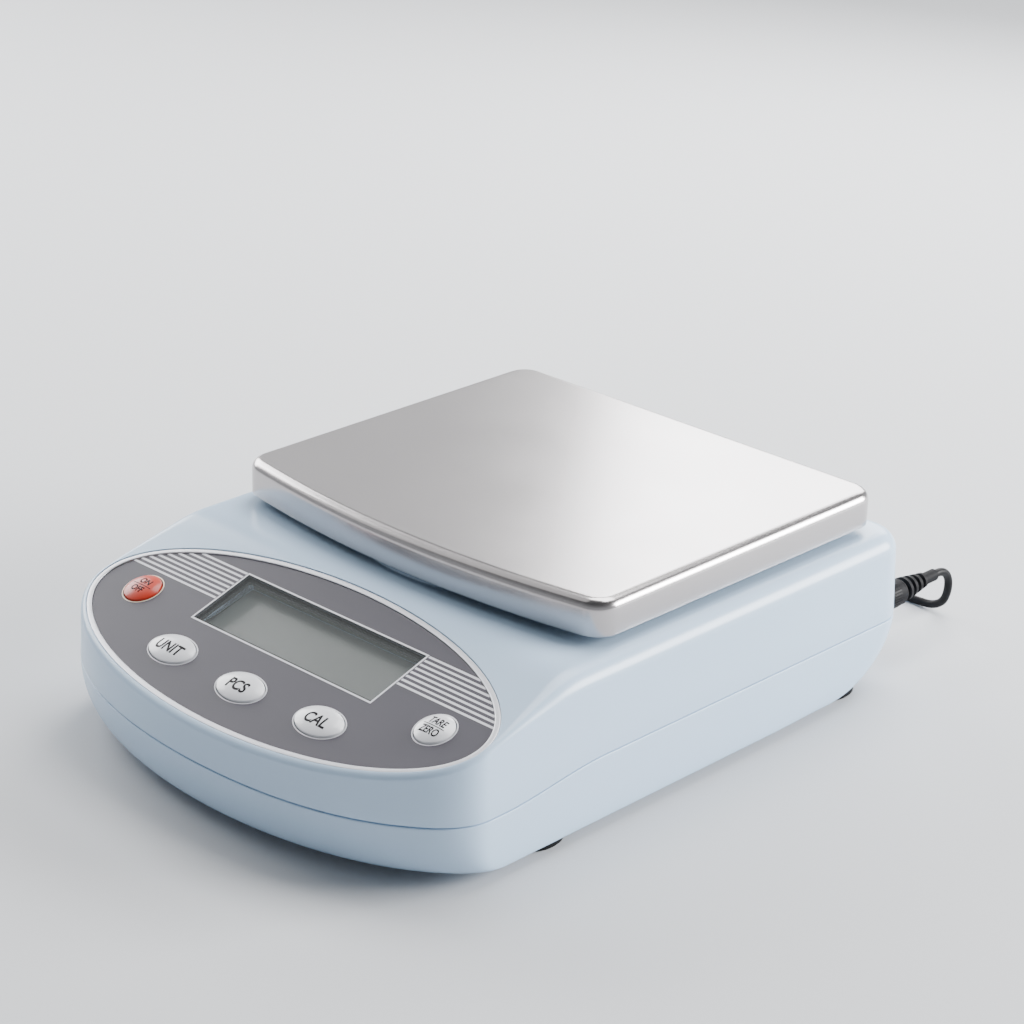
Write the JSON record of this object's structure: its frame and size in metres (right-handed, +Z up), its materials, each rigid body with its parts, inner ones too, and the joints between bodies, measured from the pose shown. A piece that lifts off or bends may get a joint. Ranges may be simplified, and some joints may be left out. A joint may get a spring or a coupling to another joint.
{
  "type": "top-pan laboratory balance",
  "caption": "Electronic top-pan laboratory balance with a plastic housing, sloping oval control panel, lift-off steel pan on a load cell, rubber feet and a plug-in power lead",
  "frame": {"origin": "On the table under the middle of the housing and feet, leaving out the power lead", "axes": "+X to the user's right, -Y towards the control panel, +Z up"},
  "size_m": [0.182, 0.3023, 0.072],
  "materials": {
    "shell_plastic": "satin moulded ABS, pale blue",
    "ring_silver": "satin silver trim",
    "panel_film": "grey printed panel",
    "clear_lens": "clear acrylic",
    "lcd_cell": "grey-green liquid crystal cell",
    "dark_plastic": "black moulded plastic",
    "circuit_board": "solder-masked laminate",
    "zinc_screws": "zinc plated",
    "power_cap": "glossy orange-red dome",
    "white_cap": "glossy white dome",
    "pan_steel": "brushed stainless sheet",
    "black_rubber": "moulded rubber",
    "carrier_plastic": "ribbed moulding",
    "alloy": "machined aluminium",
    "plate_steel": "plated steel plate",
    "brass_stop": "turned brass",
    "ribbon_grey": "flat ribbon insulation",
    "cord_vinyl": "black vinyl",
    "blade_brass": "plated blades"
  },
  "bodies": {
    "base": {"upper_case": "shell_plastic", "lower_case": "shell_plastic", "panel_ring": "ring_silver", "panel_overlay": "panel_film", "display_lens": "clear_lens", "display_shroud": "dark_plastic", "lcd_module": "lcd_cell", "display_board": "circuit_board", "tact_switches": "dark_plastic", "board_screws": "zinc_screws", "load_cell": "alloy", "cell_plate": "plate_steel", "cell_screws": "zinc_screws", "overload_stop": "brass_stop", "main_board": "circuit_board", "main_board_screws": "zinc_screws", "ribbon_cable": "ribbon_grey", "case_screws": "zinc_screws", "foot_front_left": "black_rubber", "foot_front_right": "black_rubber", "foot_rear_left": "black_rubber", "foot_rear_right": "black_rubber", "foot_screws": "zinc_screws", "dc_jack": "dark_plastic"},
    "pan_support": {"pan_carrier": "carrier_plastic", "pan_cushions": "black_rubber", "carrier_screws": "zinc_screws", "cell_bracket": "alloy", "bracket_screws": "zinc_screws"},
    "pan": {"weighing_pan": "pan_steel"},
    "power_key": {"button_power": "power_cap"},
    "tare_key": {"button_tare": "white_cap"},
    "unit_key": {"button_unit": "white_cap"},
    "pcs_key": {"button_pcs": "white_cap"},
    "cal_key": {"button_cal": "white_cap"},
    "lead": {"dc_plug": "cord_vinyl", "power_cord": "cord_vinyl", "cord_coil": "cord_vinyl", "coil_tie": "dark_plastic", "adapter_cord": "cord_vinyl", "power_adapter": "dark_plastic", "adapter_blades": "blade_brass"}
  },
  "joints": [
    {"name": "weigh_travel", "type": "slide", "parent": "base", "child": "pan_support", "axis": [0, 0, 1], "range_m": [-0.0004, 0], "stiffness_N_per_m": 20000, "springref_m": 0.0005, "deforming": ["load_cell"]},
    {"name": "pan_lift", "type": "slide", "parent": "pan_support", "child": "pan", "axis": [0, 0, 1], "range_m": [0, 0.03]},
    {"name": "power_press", "type": "slide", "parent": "base", "child": "power_key", "axis": [0, 0.3007, -0.9537], "range_m": [0, 0.0008], "stiffness_N_per_m": 1000, "springref_m": -0.0003},
    {"name": "tare_press", "type": "slide", "parent": "base", "child": "tare_key", "axis": [0, 0.3007, -0.9537], "range_m": [0, 0.0008], "stiffness_N_per_m": 1000, "springref_m": -0.0003},
    {"name": "unit_press", "type": "slide", "parent": "base", "child": "unit_key", "axis": [0, 0.3007, -0.9537], "range_m": [0, 0.0008], "stiffness_N_per_m": 1000, "springref_m": -0.0003},
    {"name": "pcs_press", "type": "slide", "parent": "base", "child": "pcs_key", "axis": [0, 0.3007, -0.9537], "range_m": [0, 0.0008], "stiffness_N_per_m": 1000, "springref_m": -0.0003},
    {"name": "cal_press", "type": "slide", "parent": "base", "child": "cal_key", "axis": [0, 0.3007, -0.9537], "range_m": [0, 0.0008], "stiffness_N_per_m": 1000, "springref_m": -0.0003},
    {"name": "plug_pull", "type": "slide", "parent": "base", "child": "lead", "axis": [0, 1, 0], "range_m": [0, 0.02]}
  ]
}
